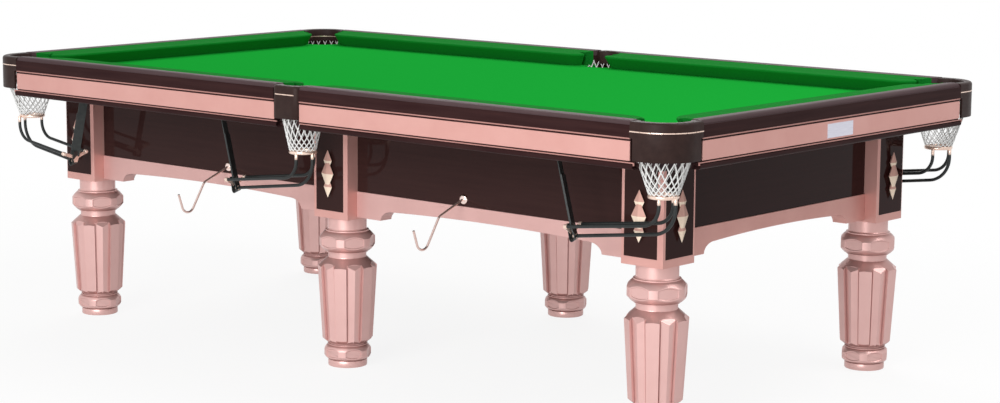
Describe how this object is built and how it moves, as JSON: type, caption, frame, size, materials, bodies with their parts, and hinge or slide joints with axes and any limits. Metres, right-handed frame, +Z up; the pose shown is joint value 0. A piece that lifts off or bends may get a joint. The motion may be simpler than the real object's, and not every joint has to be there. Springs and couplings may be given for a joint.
{
  "type": "heyball table",
  "caption": "Slate-bed heyball table on turned legs, with cloth cushions, corded pocket nets, ball rails, levelling feet and rest hooks.",
  "frame": {"origin": "on the floor under the middle of the bed", "axes": "+X along the table's length, +Y across it away from the rest hooks, +Z up"},
  "size_m": [2.836, 1.582, 0.882],
  "materials": {
    "rose_gold": "satin metallic rose-gold paint",
    "foot_metal": "satin metallic rose-gold paint",
    "dark_gloss": "dark brown gloss lacquer",
    "cap_dark": "dark brown satin",
    "baize": "green napped cloth",
    "slate": "honed",
    "bearer": "planed",
    "net_cord": "white twisted cord",
    "tube_black": "black satin coating",
    "polished_steel": "polished"
  },
  "bodies": {
    "table": {"leg_front_left": "rose_gold", "post_front_left": "rose_gold", "cap_front_left": "cap_dark", "net_front_left": "net_cord", "ball_rail_front_left": "tube_black", "leg_front_middle": "rose_gold", "post_front_middle": "rose_gold", "cap_front_middle": "cap_dark", "net_front_middle": "net_cord", "ball_rail_front_middle": "tube_black", "leg_front_right": "rose_gold", "post_front_right": "rose_gold", "cap_front_right": "cap_dark", "net_front_right": "net_cord", "ball_rail_front_right": "tube_black", "leg_back_left": "rose_gold", "post_back_left": "rose_gold", "cap_back_left": "cap_dark", "net_back_left": "net_cord", "ball_rail_back_left": "tube_black", "leg_back_middle": "rose_gold", "post_back_middle": "rose_gold", "cap_back_middle": "cap_dark", "net_back_middle": "net_cord", "ball_rail_back_middle": "tube_black", "leg_back_right": "rose_gold", "post_back_right": "rose_gold", "cap_back_right": "cap_dark", "net_back_right": "net_cord", "ball_rail_back_right": "tube_black", "apron_front_left": "dark_gloss", "rail_front_left": "dark_gloss", "cushion_front_left": "baize", "apron_front_right": "dark_gloss", "rail_front_right": "dark_gloss", "cushion_front_right": "baize", "apron_back_left": "dark_gloss", "rail_back_left": "dark_gloss", "cushion_back_left": "baize", "apron_back_right": "dark_gloss", "rail_back_right": "dark_gloss", "cushion_back_right": "baize", "apron_left_end": "dark_gloss", "rail_left_end": "dark_gloss", "cushion_left_end": "baize", "apron_right_end": "dark_gloss", "rail_right_end": "dark_gloss", "cushion_right_end": "baize", "slate_bed": "slate", "bed_cloth": "baize", "subframe": "bearer"},
    "levelling_foot_front_left": {"levelling_foot_front_left": "foot_metal"},
    "levelling_foot_front_middle": {"levelling_foot_front_middle": "foot_metal"},
    "levelling_foot_front_right": {"levelling_foot_front_right": "foot_metal"},
    "levelling_foot_back_left": {"levelling_foot_back_left": "foot_metal"},
    "levelling_foot_back_middle": {"levelling_foot_back_middle": "foot_metal"},
    "levelling_foot_back_right": {"levelling_foot_back_right": "foot_metal"},
    "rest_hook_left": {"rest_hook_left": "polished_steel"},
    "rest_hook_right": {"rest_hook_right": "polished_steel"}
  },
  "joints": [
    {"name": "foot_screw_front_left", "type": "slide", "parent": "table", "child": "levelling_foot_front_left", "axis": [0, 0, -1], "range_m": [0, 0.02]},
    {"name": "foot_screw_front_middle", "type": "slide", "parent": "table", "child": "levelling_foot_front_middle", "axis": [0, 0, -1], "range_m": [0, 0.02]},
    {"name": "foot_screw_front_right", "type": "slide", "parent": "table", "child": "levelling_foot_front_right", "axis": [0, 0, -1], "range_m": [0, 0.02]},
    {"name": "foot_screw_back_left", "type": "slide", "parent": "table", "child": "levelling_foot_back_left", "axis": [0, 0, -1], "range_m": [0, 0.02]},
    {"name": "foot_screw_back_middle", "type": "slide", "parent": "table", "child": "levelling_foot_back_middle", "axis": [0, 0, -1], "range_m": [0, 0.02]},
    {"name": "foot_screw_back_right", "type": "slide", "parent": "table", "child": "levelling_foot_back_right", "axis": [0, 0, -1], "range_m": [0, 0.02]},
    {"name": "hook_swing_left", "type": "hinge", "parent": "table", "child": "rest_hook_left", "pos_m": [-0.5, -0.553, 0.568], "axis": [0, -1, 0], "range_deg": [-45, 45]},
    {"name": "hook_swing_right", "type": "hinge", "parent": "table", "child": "rest_hook_right", "pos_m": [0.5, -0.553, 0.568], "axis": [0, -1, 0], "range_deg": [-45, 45]}
  ]
}
